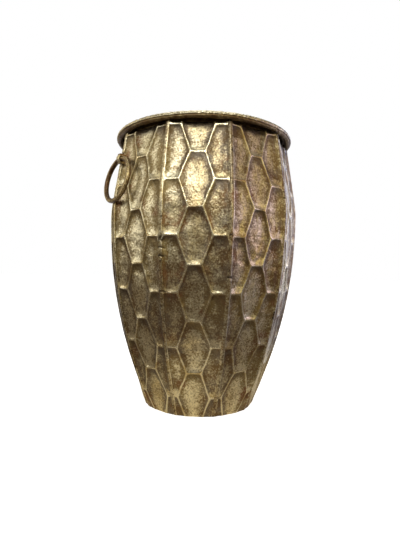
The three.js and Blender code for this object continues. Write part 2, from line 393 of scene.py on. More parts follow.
def ease(value, low, high):
    """0 below low, 1 above high, smooth between."""
    t = np.clip((value - low) / (high - low), 0, 1)
    return t * t * (3 - 2 * t)


def soft_min(values, sharpness):
    """The least of some values, rounded over where two of them meet."""
    total = sum(np.exp(-sharpness * np.clip(v, -8, 60)) for v in values)
    return -np.log(total) / sharpness


def waves(rng, wavelength, count=16):
    """A smooth random surface of about unit height, as a sum of plane waves."""
    angles = rng.uniform(0, 2 * math.pi, count)
    lengths = wavelength * rng.uniform(0.7, 1.5, count)
    phases = rng.uniform(0, 2 * math.pi, count)
    kx = 2 * math.pi * np.cos(angles) / lengths
    ky = 2 * math.pi * np.sin(angles) / lengths
    scale = math.sqrt(2 / count)

    def height(x, y):
        return scale * sum(np.sin(a * x + b * y + c) for a, b, c in zip(kx, ky, phases))

    return height


def hammer_marks(rng, spacing):
    """Shallow round dents at scattered places: 0 in the middle of a dent, 1 at its rim."""
    table = rng.uniform(0.15, 0.85, (64, 64, 2))

    def height(x, y):
        cx = np.floor(x / spacing).astype(int)
        cy = np.floor(y / spacing).astype(int)
        nearest = np.full(np.shape(x), 9.0)
        for i in (-1, 0, 1):
            for j in (-1, 0, 1):
                jitter = table[(cx + i) % 64, (cy + j) % 64]
                dx = x / spacing - (cx + i + jitter[..., 0])
                dy = y / spacing - (cy + j + jitter[..., 1])
                nearest = np.minimum(nearest, dx * dx + dy * dy)
        return np.clip(nearest / 0.5, 0, 1)

    return height


def zip_strip(a, a_at, b, b_at):
    """Triangles between two rows of points, matched by their positions along the row."""
    faces = []
    i = j = 0
    while i < len(a) - 1 or j < len(b) - 1:
        step_a = j == len(b) - 1 or (i < len(a) - 1 and a_at[i + 1] <= b_at[j + 1])
        if step_a:
            faces.append((a[i], a[i + 1], b[j]))
            i += 1
        else:
            faces.append((a[i], b[j + 1], b[j]))
            j += 1
    return faces


# ---------------------------------------------------------------- belly
def rib_radius_sharp(z):
    below = np.clip((WAIST_Z - z) / WAIST_Z, 0, None) ** BELLY_POWER
    above = np.clip((z - WAIST_Z) / (NECK_Z - WAIST_Z), 0, None)
    return WAIST_RADIUS - (WAIST_RADIUS - BASE_RADIUS) * below - (WAIST_RADIUS - NECK_RADIUS) * above


def rib_radius(z):
    """Radius of the seam ribs, with the waist rounded over."""
    offsets = np.linspace(-WAIST_SOFTNESS, WAIST_SOFTNESS, 9)
    near_waist = np.clip(1 - np.abs(z - WAIST_Z) / (2 * WAIST_SOFTNESS), 0, 1)
    rounded = sum(rib_radius_sharp(z + o) for o in offsets) / len(offsets)
    return rib_radius_sharp(z) * (1 - near_waist) + rounded * near_waist


def corner_radius(z):
    """Radius of the ten-sided wall's own corners, which the laps cover."""
    return rib_radius(z) - LAP_RISE / math.cos(HALF_PANEL)


def face_distance(z):
    return corner_radius(z) * math.cos(HALF_PANEL)


def foot_roundness(s, z):
    """How far the wall is pushed out near the floor, where the ten sides turn into a circle."""
    reach = np.clip((corner_radius(z) + FOOT_SWELL) ** 2 - s ** 2, 0, None)
    bulge = np.sqrt(reach) - face_distance(z)
    return np.clip(bulge, 0, None) * (1 - ease(z, 0.0, FOOT_HEIGHT))


def half_width(z):
    return corner_radius(z) * math.sin(HALF_PANEL)


# ---------------------------------------------------------------- panels
SLANT = math.hypot(ROW_PITCH, CELL_HALF_WIDTH - CELL_HALF_EDGE)  # length of a cell's slanted side
LAP_ROOT = (0.05, 0.2)  # where the lap's underside meets the back: past the seam, and outwards
BACK_EDGE_AT = (1.2, 1.95)  # positions across, as lap_profile counts them, of the back's last columns


def honeycomb(s, z, sharpness):
    """How far a point is inside its cell, and how high it is there, from -1 to 1."""
    column_step = CELL_HALF_WIDTH + CELL_HALF_EDGE
    best = np.full(np.shape(s), -9.0)
    height = np.zeros(np.shape(s))
    for column in (-2, -1, 0, 1, 2):
        start = FIRST_ROW_Z + (ROW_PITCH if column % 2 else 0)
        centre = start + 2 * ROW_PITCH * np.round((z - start) / (2 * ROW_PITCH))
        x = np.abs(s - column * column_step)
        y = z - centre
        reach = (CELL_HALF_WIDTH - x) * ROW_PITCH
        fall = y * (CELL_HALF_WIDTH - CELL_HALF_EDGE)
        sides = [(reach - fall) / SLANT, (reach + fall) / SLANT, ROW_PITCH - y, ROW_PITCH + y]
        depth = soft_min(sides, sharpness)
        height = np.where(depth > best, y / ROW_PITCH, height)
        best = np.maximum(best, depth)
    return best, height


def panel_relief(rng, s, z, width):
    """Height of the embossed sheet over its plain level, and the masks for its finish, painted highlight
    and painted shade among them.
    """
    drift_s = waves(rng, DRIFT_LENGTH)
    drift_z = waves(rng, DRIFT_LENGTH)
    jog_s = waves(rng, JOG_LENGTH)
    jog_z = waves(rng, JOG_LENGTH)
    sw = s + DRIFT_SIDEWAYS * drift_s(s, z) + JOG * jog_s(s, z)
    zw = z + DRIFT_UPWARDS * drift_z(s, z) + JOG * jog_z(s, z)
    crest, level = honeycomb(sw, zw, RIDGE_SHARPNESS)
    bowl, _ = honeycomb(sw, zw, BOWL_SHARPNESS)
    left = s + width - LAP_WIDTH
    right = width - LAP_RUN - s
    girth = RIDGE_GIRTH * (1 + GIRTH_SHARE * waves(rng, GIRTH_LENGTH)(s, z))
    ridge = np.exp(-(np.clip(crest, 0, None) / girth) ** 2)
    rim = ease(soft_min([left, right], 1.2), 0.0, 2.2)

    # the sunk floor of a cell, with a slope down to it from the ridges and from the seams
    run = DISH_RUN * (1 + SLOPE_SHARE * waves(rng, SLOPE_LENGTH)(s, z))
    inside = soft_min([bowl + 0.9, 0.9 * left + 0.3, 0.6 * right + 0.3], 0.5)
    dish = np.clip(soft_min([inside, run], 0.9) / run, 0, 1)

    # hammer dents and slow waves on that floor, and small ones along the ridges
    dents = hammer_marks(rng, LARGE_DENT)(s, z)
    dents = dents + SMALL_DENT_SHARE * hammer_marks(rng, SMALL_DENT)(s, z)
    floor = DENT * (dents - (1 + SMALL_DENT_SHARE) / 2)
    floor = floor + RIPPLE * waves(rng, RIPPLE_LENGTH)(s, z) + SWELL * waves(rng, SWELL_LENGTH)(s, z)
    height = -RIDGE_RISE * (1 - ridge) * rim - DISH_DEPTH * dish + floor * ease(inside, 0.5, 5.0)
    height = height + CREST * waves(rng, CREST_LENGTH)(s, z) * ridge
    height = height * (0.5 + 0.5 * ease(z, 0.0, FOOT_FLAT))

    # lip: a painted highlight where the bottom of each cell turns up to the ridge below it
    lip = ease(-level, 0.62, 0.93) * ease(crest, 0.5, 1.5)
    # below each ridge, and a little beside every ridge: dirt and painted shade
    under = np.maximum(ease(level, 0.5, 0.97), 0.3 * (1 - ease(crest, 1.5, 6.0)))
    masks = {
        "ridge": ridge,
        "crown": ease(inside, 1.5, 11.0),
        "grime_and_shade": under * ease(crest, 0.7, 2.2) * (1 - lip),
        "lip": lip,
        # shade: a painted shadow under the bead
        "shade": ease(zw, *BEAD_SHADOW_Z) * (1 - 0.75 * ridge),
    }
    return height, masks


def lap_profile():
    """The lap's outer line from its foot to its edge: sideways, outwards, position along it."""
    rise = [(-LAP_RUN * (1 - t), LAP_RISE * float(ease(t, 0, 1)), t) for t in (0.25, 0.5, 0.75)]
    along = (math.cos(2 * HALF_PANEL), -math.sin(2 * HALF_PANEL))
    away = (math.sin(2 * HALF_PANEL), math.cos(2 * HALF_PANEL))

    def over(run, height):
        return run * along[0] + height * away[0], run * along[1] + height * away[1]

    top = LAP_RISE
    points = [(*over(0.25, top - 0.03), 1.1), (*over(1.0, top), 1.3), (*over(1.9, top), 1.5)]
    points += [(*over(2.55, top - 0.04), 1.65), (*over(2.9, top - 0.2), 1.75)]
    points += [(*over(LAP_WIDTH, top - 0.42), 1.85), (*over(LAP_WIDTH - 0.06, SEAM_GAP), 1.95)]
    crest = (0.12, LAP_RISE * 0.985, 1.0)
    return [*rise, crest, *points]


def around_pits(pits, z):
    """Near 1 by each of a seam's solder pits, given as height and reach."""
    return sum((np.exp(-((z - at) / reach) ** 2) for at, reach in pits), 0 * z)


def lap_surface(rng, z, pits):
    """The lap along one edge: its points, where across it each column is, and its finish masks."""
    waver = LAP_WAVER * waves(rng, LAP_WAVER_LENGTH)(0 * z, z)
    bitten = 1 + waver - PIT_BITE * np.clip(around_pits(pits, z), 0, 1)
    ripple = waves(rng, LAP_RIPPLE_LENGTH)
    profile = lap_profile()
    s = np.hstack([half_width(z) + p[0] * (bitten if p[2] > 1 else 1) for p in profile])
    rise = np.array([p[1] for p in profile])
    across = np.array([p[2] for p in profile])
    rippled = LAP_RIPPLE * ripple(across * 4, z) * (across < 1.7) * (across > 0.3)
    d = face_distance(z) + rise * (0.6 + 0.4 * ease(z, 0.0, FOOT_FLAT))
    d = d + FOOT_SWELL * (1 - ease(z, 0.0, FOOT_HEIGHT)) + rippled
    pitted = np.clip(PIT_SHADE * around_pits(pits, z), 0, 1)
    edge_light = ease(across, 0.5, 1.0) * 0.5 + 0.4 * ease(across, 1.4, 1.7)
    masks = {
        "ridge": edge_light * (1 - pitted),
        "crown": 0.4,
        # the lap's downturned edge: painted shade
        "grime_and_shade": across > 1.8,
        "lip": 0.0,
        "lap": 1.0,
        # painted shadow under the bead, and painted shade in the pits
        "shade": np.maximum(0.6 * ease(z, *LAP_BEAD_SHADOW_Z), pitted),
        "tarnish_and_shade": 0.0,
    }
    return (s, d, np.repeat(z, len(profile), axis=1)), across, masks


def panel_surface(rng, pits, pits_left, tarnish_and_shade):
    """Outside of one panel facing -Y, as (row, column) grids, and where across it each column is."""
    rows = np.linspace(0, PANEL_TOP_Z, int(PANEL_TOP_Z / GRID) + 1)
    face_columns = int(2 * WAIST_RADIUS * math.sin(HALF_PANEL) / GRID)
    face_at = np.linspace(0, 1, face_columns)
    z, at = np.meshgrid(rows, face_at, indexing="ij")
    width = half_width(z)
    left = -width + SEAM_GAP / 2
    s = left + (width - LAP_RUN - left) * at
    height, masks = panel_relief(rng, s, z, width)
    # painted shade beside each pit, over this panel's edge
    pit_shade = around_pits(pits_left, z) * np.exp(-((s + width - LAP_WIDTH) / PIT_SHADE_WIDTH) ** 2)
    masks["shade"] = np.maximum(masks["shade"], np.clip(PIT_SHADE * pit_shade, 0, 1))
    masks["lap"] = np.zeros_like(s)
    # tarnish, partly painted shade, in the middle rows
    masks["tarnish_and_shade"] = tarnish_and_shade * np.exp(-((z - TARNISH_AND_SHADE_Z) / TARNISH_AND_SHADE_REACH) ** 4) * (1 - masks["ridge"])
    face = (s, face_distance(z) + height + foot_roundness(s, z), z)
    lap, across, lap_masks = lap_surface(rng, rows[:, None], pits)
    front = [np.hstack(pair) for pair in zip(face, lap)]
    pad = np.ones_like(lap[0])
    masks = {key: np.hstack([mask, pad * lap_masks[key]]) for key, mask in masks.items()}
    return rows, front, masks, np.concatenate([face_at, across])


def panel_mesh(rng, pits, pits_left, tarnish_and_shade):
    """A closed panel facing -Y: the fine outside, a coarser back, and strips that join them."""
    rows, (s, d, z), masks, front_at = panel_surface(rng, pits, pits_left, tarnish_and_shade)
    face_count = int(np.sum(front_at <= 1.0) - 4)
    coarse_rows = np.unique(np.append(np.arange(0, len(rows), BACK_STEP), len(rows) - 1))
    coarse_columns = np.arange(0, face_count, BACK_STEP)
    width = half_width(rows[coarse_rows])[:, None]
    level = face_distance(rows[coarse_rows])[:, None]
    back_s = s[np.ix_(coarse_rows, coarse_columns)]
    back_d = d[np.ix_(coarse_rows, coarse_columns)] - SHEET
    limit = width - SEAM_GAP / 2 - SHEET * math.tan(HALF_PANEL)
    back_s = np.clip(back_s, -limit, limit)
    back_s = np.hstack([back_s, limit, width - SEAM_GAP / 2 + LAP_ROOT[0]])
    back_d = np.hstack([back_d, level - SHEET, level + LAP_ROOT[1]])
    back_z = np.repeat(rows[coarse_rows][:, None], back_s.shape[1], axis=1)
    back_at = np.concatenate([front_at[coarse_columns], BACK_EDGE_AT])
    points = np.vstack([
        np.stack([s, -d, z], -1).reshape(-1, 3),
        np.stack([back_s, -back_d, back_z], -1).reshape(-1, 3),
    ])
    front = np.arange(s.size).reshape(s.shape)
    back = s.size + np.arange(back_s.size).reshape(back_s.shape)
    faces = quads(front) + [f[::-1] for f in quads(back)]
    row_at = np.arange(len(rows))
    faces += zip_strip(front[:, 0], row_at, back[:, 0], coarse_rows)
    faces += [f[::-1] for f in zip_strip(front[:, -1], row_at, back[:, -1], coarse_rows)]
    faces += [f[::-1] for f in zip_strip(front[0], front_at, back[0], back_at)]
    faces += zip_strip(front[-1], front_at, back[-1], back_at)
    behind = np.zeros(back_s.size)
    masks = {key: np.concatenate([mask.ravel(), behind]) for key, mask in masks.items()}
    return points, [tuple(int(i) for i in f) for f in faces], masks


def quads(grid):
    """Faces of a point grid, facing -Y when columns run along +X and rows along +Z."""
    corners = [grid[:-1, :-1], grid[:-1, 1:], grid[1:, 1:], grid[1:, :-1]]
    return np.stack(corners, -1).reshape(-1, 4).tolist()


def turned(points, angle):
    c, s = math.cos(angle), math.sin(angle)
    out = points.copy()
    out[:, 0] = c * points[:, 0] - s * points[:, 1]
    out[:, 1] = s * points[:, 0] + c * points[:, 1]
    return out


def make_panels(material):
    panels = []
    for i in range(PANELS):
        name = f"panel_{i + 1:02d}"
        pits = PITS.get(i, [])
        pits_left = PITS.get((i - 1) % PANELS, [])
        points, faces, masks = panel_mesh(np.random.RandomState(SEED + i), pits, pits_left, TARNISH_AND_SHADE[i])
        points = turned(points, 2 * HALF_PANEL * i)
        for side, pair in HANDLE_PANELS.items():
            if i in pair:
                points = press_seat(points, side)
        piece = mesh_object(f"{name}_sheet", points, faces, material, "pot", masks)
        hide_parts(name)
        panels.append(piece)
    return panels


# ---------------------------------------------------------------- handles
RING_RADIUS = 26.3
RING_WIRE = 3.02  # radius of the wire
RING_STEPS = 176
WIRE_STEPS = 28
WIRE_UNEVEN = 0.006  # share of its radius
WIRE_FLATNESS = 0.97  # thickness across the ring's plane, against that in the plane
RING_HANG_Z = 307.0
RING_TILT = math.radians(10.4)
WIRE_STANDOFF = 1.0
HANDLE_TURN = math.radians(6.8)  # about Z, off the rib's own direction
HANDLE_SHIFT = 3.0  # sideways from the rib
STAPLE_INSIDE = 3.7
STAPLE_SHEET = 1.6
STAPLE_WIDTH = 5.0
STAPLE_TAB = 6.0
UPPER_TAB_DEPTH = 8.0
LOWER_TAB_DEPTH = 6.0
SEAT_HALF_WIDTH = 12.0
SEAT_HALF_HEIGHT = 7.0
SEAT_DEPTH = 2.41  # the flat behind the ring wire, in from the rib
SEAT_BLEND = 3.0  # height over which the flat runs out, above and below
SEAT_REACH = 15.0  # nothing further in or out than this is hammered
SEAT_GIVE = 0.35  # share of its shape that the hammered wall keeps
NECK_SLOPE = math.atan2(WAIST_RADIUS - NECK_RADIUS, NECK_Z - WAIST_Z)
SLOT_CLEARANCE = 0.45
SLOT_LENGTH = 16.0  # of the cut, through the wall
SLOT_INWARD = 4.0  # from the rib to the middle of the cut
STAPLE_BEND = 0.4  # small corner where a leg turns over, outside
STAPLE_BEND_INSIDE = 0.7
STAPLE_EDGE = 0.4  # rounding of the strap's edges
STAPLE_UNEVEN = 0.08


def handle_frame(side):
    """From a handle's own frame (+X out of the pot, origin on the rib) to the pot, in millimetres."""
    rib = float(rib_radius_sharp(np.array(RING_HANG_Z)))
    turn = (math.pi if side < 0 else 0.0) + HANDLE_TURN
    place = Matrix.Translation((side * rib, side * HANDLE_SHIFT, RING_HANG_Z))
    return place @ Matrix.Rotation(turn, 4, "Z")


def moved(points, matrix):
    m = np.array(matrix)
    return np.asarray(points, float) @ m[:3, :3].T + m[:3, 3]


def press_seat(points, side):
    """Hammers the corner of the wall flat where a ring's wire passes."""
    lean = Matrix.Rotation(-NECK_SLOPE, 4, "Y")
    to_seat = (handle_frame(side) @ lean).inverted()
    local = moved(points, to_seat)
    across = 1 - ease(np.abs(local[:, 1]), SEAT_HALF_WIDTH * 0.6, SEAT_HALF_WIDTH)
    upright = 1 - ease(np.abs(local[:, 2]), SEAT_HALF_HEIGHT, SEAT_HALF_HEIGHT + SEAT_BLEND)
    near = across * upright * (np.abs(local[:, 0]) < SEAT_REACH)
    pressed = np.minimum(local[:, 0], SEAT_GIVE * local[:, 0] - SEAT_DEPTH)
    local[:, 0] += near * (pressed - local[:, 0])
    return moved(local, to_seat.inverted())


def arc(centre, radius, start, end, steps):
    angles = np.linspace(start, end, steps + 1)
    return [(centre[0] + radius * math.cos(a), centre[1] + radius * math.sin(a)) for a in angles]


def staple_outline():
    """The strap seen from its side: round the outside of the loop, then back round its inside."""
    outside = STAPLE_INSIDE + STAPLE_SHEET
    tip = outside + STAPLE_TAB
    loop = (WIRE_STANDOFF, 0.0)
    quarter = math.pi / 2
    upper, lower = -UPPER_TAB_DEPTH, -LOWER_TAB_DEPTH
    upper_in, lower_in = upper - STAPLE_SHEET, lower - STAPLE_SHEET
    outline = [(upper, tip), (upper, outside + STAPLE_BEND), (upper + STAPLE_BEND, outside)]
    outline += arc(loop, outside, quarter, -quarter, 22)
    outline += [(lower + STAPLE_BEND, -outside), (lower, -outside - STAPLE_BEND), (lower, -tip)]
    outline += [(lower_in, -tip), (lower_in, -STAPLE_INSIDE - STAPLE_BEND_INSIDE)]
    outline += [(lower_in + STAPLE_BEND_INSIDE, -STAPLE_INSIDE)]
    outline += arc(loop, STAPLE_INSIDE, -quarter, quarter, 22)
    outline += [(upper_in + STAPLE_BEND_INSIDE, STAPLE_INSIDE)]
    outline += [(upper_in, STAPLE_INSIDE + STAPLE_BEND_INSIDE), (upper_in, tip)]
    return outline


def in_order(points, faces):
    """The same mesh, with its points and faces in an order that doesn't depend on how it was made."""
    order = np.lexsort(np.round(points, 4).T)
    place = np.argsort(order)
    faces = [[int(place[i]) for i in face] for face in faces]
    faces = [face[face.index(min(face)):] + face[:face.index(min(face))] for face in faces]
    return points[order], sorted(faces)


def make_staple(side, label, material):
    """A bent strap with rounded edges, its legs through the wall and turned over inside."""
    mesh = bmesh.new()
    outline = staple_outline()
    rng = np.random.RandomState(SEED + 40 + side)
    half = STAPLE_WIDTH / 2
    loops = []
    for y in (half, -half):
        loops.append([mesh.verts.new((x, y, z)) for x, z in outline])
    mesh.faces.new(loops[0])
    mesh.faces.new(loops[1][::-1])
    count = len(outline)
    for i in range(count):
        j = (i + 1) % count
        mesh.faces.new((loops[0][j], loops[0][i], loops[1][i], loops[1][j]))
    bmesh.ops.recalc_face_normals(mesh, faces=mesh.faces)
    rims = [e for e in mesh.edges if abs(e.verts[0].co.y - e.verts[1].co.y) < half]
    bmesh.ops.bevel(mesh, geom=rims, offset=STAPLE_EDGE, segments=3, profile=0.5, affect="EDGES")
    bmesh.ops.triangulate(mesh, faces=[f for f in mesh.faces if len(f.verts) > 4])
    points = np.array([v.co for v in mesh.verts])
    faces = [[v.index for v in f.verts] for f in mesh.faces]
    mesh.free()
    points, faces = in_order(points, faces)
    uneven = waves(rng, 5)
    points[:, 1] += STAPLE_UNEVEN * uneven(points[:, 0], points[:, 2])
    wear_and_painted_light = ease(np.abs(points[:, 1]), half - 0.5, half) * 0.6 + 0.6 * ease(points[:, 0], 2.0, 5.5)
    points = moved(points, handle_frame(side))
    name = f"staple_{label}"
    piece = mesh_object(f"{name}_strap", points, faces, material, "pot", {"wear_and_painted_light": wear_and_painted_light})
    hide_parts(name)


def ring_mesh(rng):
    """A forged wire ring in the YZ plane, a little uneven along its length."""
    turn = np.linspace(0, 2 * math.pi, RING_STEPS, endpoint=False)
    tube = np.linspace(0, 2 * math.pi, WIRE_STEPS, endpoint=False)
    a, b = np.meshgrid(turn, tube, indexing="ij")
    uneven = sum(
        rng.uniform(0.2, 1.0) * np.sin(k * a + m * b + rng.uniform(0, 6.3))
        for k, m in ((2, 0), (3, 1), (5, 0), (7, 2), (11, 1), (17, 3), (23, 2))
    )
    thick = RING_WIRE * (1 - 2 * WIRE_UNEVEN + WIRE_UNEVEN * uneven)
    ring = RING_RADIUS + thick * np.cos(b)
    points = np.stack([thick * np.sin(b) * WIRE_FLATNESS, ring * np.sin(a), ring * np.cos(a)], -1)
    index = np.arange(a.size).reshape(a.shape)
    nxt = np.roll(index, -1, axis=0)
    faces = np.stack([index, nxt, np.roll(nxt, -1, axis=1), np.roll(index, -1, axis=1)], -1)
    wear_and_painted_light = 0.55 * np.clip(np.sin(b) * 0.7 + np.cos(b) * 0.7, 0, 1) ** 2
    return points.reshape(-1, 3), faces.reshape(-1, 4).tolist(), wear_and_painted_light.ravel()


def make_ring(side, label, material):
    points, faces, wear_and_painted_light = ring_mesh(np.random.RandomState(SEED + 50 + side))
    hang = Matrix.Translation((WIRE_STANDOFF, 0, 0)) @ Matrix.Rotation(-RING_TILT, 4, "Y")
    hang = handle_frame(side) @ hang @ Matrix.Translation((0, 0, -RING_RADIUS))
    name = f"ring_{label}"
    points = moved(points, hang)
    piece = mesh_object(f"{name}_wire", points, faces, material, f"{label}_handle", {"wear_and_painted_light": wear_and_painted_light})
    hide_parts(name)


def cut_slots(panels):
    """Opens the wall for the staples' legs."""
    size = (SLOT_LENGTH, STAPLE_WIDTH + 2 * SLOT_CLEARANCE, STAPLE_SHEET + 2 * SLOT_CLEARANCE)
    for side, pair in HANDLE_PANELS.items():
        handle = Matrix.Scale(MM, 4) @ handle_frame(side)
        cutter_mesh = bmesh.new()
        for leg in (-1, 1):
            place = Matrix.Translation((-SLOT_INWARD, 0, leg * (STAPLE_INSIDE + STAPLE_SHEET / 2)))
            box = place @ Matrix.Diagonal((*size, 1.0))
            bmesh.ops.create_cube(cutter_mesh, size=1.0, matrix=handle @ box)
        data = bpy.data.meshes.new("leg_slots")
        cutter_mesh.to_mesh(data)
        cutter_mesh.free()
        cutter = bpy.data.objects.new("leg_slots", data)
        bpy.context.scene.collection.objects.link(cutter)
        for index in pair:
            apply_cut(panels[index], cutter)
        bpy.data.objects.remove(cutter)


def apply_cut(piece, cutter):
    cut = piece.modifiers.new("slots", "BOOLEAN")
    cut.operation = "DIFFERENCE"
    cut.solver = "EXACT"
    cut.object = cutter
    bpy.context.view_layer.update()
    shape = piece.evaluated_get(bpy.context.evaluated_depsgraph_get())
    result = bpy.data.meshes.new_from_object(shape)
    piece.modifiers.clear()
    piece.data = result


# ---------------------------------------------------------------- hoop and base pan
RIM_TOP_Z = 349.9
BEAD_RADIUS = 4.0
BEAD_RING_RADIUS = 113.3
HOOP_SHEET = 1.0
SKIRT_RADIUS = 103.7
SKIRT_BOTTOM_Z = 318.0
LIP_BEND = 4.5
CURL_TURN = math.radians(280)
BEAD_BEGINS = (108.5, 112.0)  # radii over which the plain lip becomes the uneven bead
CREASE_ANGLE = -0.42  # where a crease runs round the bead, from level, in radians
CREASE_DEPTH = 1.3
CREASE_WIDTH = 0.17  # radians
CREASE_WANDER = 0.12
# how dark the painted shade in the crease is
CREASE_SHADE = 1.3
WORN_AND_LIT_TOP_Z = (343, 347)  # the bead's top is worn and brightened with a painted highlight from the first to the second
CRINKLE = 0.14  # height of the small crinkles along the bead
FINE_CRINKLE = 0.10
BEAD_UNEVEN = 0.06
BEAD_FINE_UNEVEN = 0.04
BEAD_INSET = 0.3  # keeps the uneven bead within its nominal size
BEAD_DROP = 0.5
HOOP_STEPS = 720
PAN_PLATE_Z = 8.0
PAN_SHEET = 1.2
PAN_STEPS = 180
PAN_CLEARANCE = SHEET + 1.4 + 2 * SEAM_GAP  # from the panels' plain level to the pan's edge
PAN_FOLD = 2.2  # radius of the fold at the pan's edge
PAN_SIDE_Z = 3.0  # the folded edge is plain below this
PAN_EDGE = 0.25  # bevel at its foot
PAN_WEAR = 0.1
PAN_SAG = 0.5
PAN_UNEVEN = 0.25


def hoop_face(offset):
    """One face of the hoop's sheet from the skirt's foot to the end of the curl."""
    bend_centre = (SKIRT_RADIUS + LIP_BEND, RIM_TOP_Z - HOOP_SHEET / 2 - LIP_BEND)
    skirt = [(SKIRT_RADIUS - offset, z) for z in np.linspace(SKIRT_BOTTOM_Z, bend_centre[1] - 2, 6)]
    bend = arc(bend_centre, LIP_BEND + offset, math.pi, math.pi / 2, 7)
    curl_centre = (BEAD_RING_RADIUS, RIM_TOP_Z - BEAD_RADIUS)
    curl_radius = BEAD_RADIUS - HOOP_SHEET / 2 + offset
    curl = arc(curl_centre, curl_radius, math.pi / 2, math.pi / 2 - CURL_TURN, 44)
    return skirt + bend + curl


def make_hoop(material):
    """The skirt, lip and rolled bead in one sheet, turned round the pot, with a crease in the bead."""
    outline = np.array(hoop_face(HOOP_SHEET / 2) + hoop_face(-HOOP_SHEET / 2)[::-1])
    count = len(outline)
    rng = np.random.RandomState(SEED + 60)
    angle = np.linspace(0, 2 * math.pi, HOOP_STEPS, endpoint=False)
    a, i = np.meshgrid(angle, np.arange(count), indexing="ij")
    radius, z = outline[i, 0], outline[i, 1]
    bead = ease(radius, *BEAD_BEGINS)
    uneven = BEAD_UNEVEN * periodic(rng, a, (5, 8, 13, 21, 34, 47))
    uneven = uneven + BEAD_FINE_UNEVEN * periodic(rng, a + 0.02 * z, (61, 83, 97))
    around = np.arctan2(z - (RIM_TOP_Z - BEAD_RADIUS), radius - BEAD_RING_RADIUS)
    crease_at = CREASE_ANGLE + CREASE_WANDER * periodic(rng, a, (2, 3, 7))
    crease = np.exp(-((around - crease_at) / CREASE_WIDTH) ** 2)
    crease = crease * (0.6 + 0.12 * periodic(rng, a, (1, 4, 9)))
    crinkle = CRINKLE * periodic(rng, a + 0.05 * around, (67, 89, 113, 131))
    crinkle = crinkle + FINE_CRINKLE * periodic(rng, a - 0.02 * around, (173, 211, 239))
    outward = (crinkle - CREASE_DEPTH * np.clip(crease, 0, 1) + uneven) * bead
    radius = radius + outward * np.cos(around) - BEAD_INSET * bead
    z = z + outward * np.sin(around) - BEAD_DROP * bead
    points = np.stack([radius * np.cos(a), radius * np.sin(a), z], -1).reshape(-1, 3)
    index = np.arange(HOOP_STEPS * count).reshape(HOOP_STEPS, count)
    nxt = np.roll(index, -1, axis=0)
    faces = np.stack([index, np.roll(index, -1, axis=1), np.roll(nxt, -1, axis=1), nxt], -1)
    # wear and a painted highlight on the bead's top, and painted shade in its crease
    wear_and_painted_light = (bead * (0.35 + 0.65 * ease(z, *WORN_AND_LIT_TOP_Z) - CREASE_SHADE * crease)).ravel()
    faces = faces.reshape(-1, 4).tolist()
    piece = mesh_object("rim_hoop_sheet", points, faces, material, "pot", {"wear_and_painted_light": wear_and_painted_light})
    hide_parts("rim_hoop")


def periodic(rng, angle, counts):
    """Unevenness round a ring: a sum of whole numbers of waves."""
    return sum(rng.uniform(0.4, 1.0) * np.sin(k * angle + rng.uniform(0, 6.3)) for k in counts)


def make_pan(material):
    """A decagonal plate, a little sagged and dented, with its edge folded down to the floor."""
    angle = np.linspace(0, 2 * math.pi, PAN_STEPS, endpoint=False)
    clear = PAN_CLEARANCE / math.cos(HALF_PANEL)
    facing = (angle + math.pi / 2 + HALF_PANEL) % (2 * HALF_PANEL) - HALF_PANEL
    support = math.cos(HALF_PANEL) / np.cos(facing)
    quarter = math.pi / 2
    fold_centre = (-PAN_FOLD, PAN_PLATE_Z - PAN_FOLD)
    outer = arc(fold_centre, PAN_FOLD, quarter, 0, 5) + [(0, PAN_SIDE_Z), (0, PAN_EDGE), (-PAN_EDGE, 0)]
    inner = [(-PAN_SHEET + PAN_EDGE, 0), (-PAN_SHEET, PAN_EDGE), (-PAN_SHEET, PAN_SIDE_Z)]
    inner += arc(fold_centre, PAN_FOLD - PAN_SHEET, 0, quarter, 4)
    rings = [("plate", f, PAN_PLATE_Z) for f in np.linspace(0.04, 0.96, 14)]
    rings += [("edge", inset, z) for inset, z in outer + inner]
    rings += [("plate", f, PAN_PLATE_Z - PAN_SHEET) for f in np.linspace(0.96, 0.04, 14)]
    rng = np.random.RandomState(SEED + 70)
    sag = waves(rng, 45)
    dents = hammer_marks(rng, 11)
    points = []
    for kind, a, z in rings:
        edge = (corner_radius(np.array(z)) - clear) * support
        r = (edge - PAN_FOLD) * a if kind == "plate" else edge + a
        x, y = r * np.cos(angle), r * np.sin(angle)
        lift = 0.0
        if kind == "plate":
            middle = 1 - ease(np.array(a), 0.7, 1.0)
            lift = -middle * (PAN_SAG + PAN_UNEVEN * (sag(x, y) + dents(x, y)))
        points.append(np.stack([x, y, z + lift + 0 * x], -1))
    points = np.vstack(points)
    index = np.arange(len(rings) * PAN_STEPS).reshape(len(rings), PAN_STEPS)
    nxt = np.roll(index, -1, axis=1)
    faces = np.stack([index[:-1], index[1:], nxt[1:], nxt[:-1]], -1).reshape(-1, 4).tolist()
    faces.append(index[0].tolist())
    faces.append(index[-1][::-1].tolist())
    wear_and_painted_light = np.full(len(points), PAN_WEAR)
    piece = mesh_object("base_pan_sheet", points, faces, material, "pot", {"wear_and_painted_light": wear_and_painted_light})
    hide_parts("base_pan")


# ---------------------------------------------------------------- stage
def area_light(name, place, target, size, power, colour):
    data = bpy.data.lights.new(name, "AREA")
    data.shape = "RECTANGLE"
    data.size, data.size_y = size
    data.energy = power
    data.color = colour
    light = bpy.data.objects.new(name, data)
    bpy.context.scene.collection.objects.link(light)
    place = Vector(place)
    turn = (Vector(target) - place).to_track_quat("-Z", "Y").to_matrix().to_4x4()
    light.matrix_world = RIG @ Matrix.Translation(place) @ turn


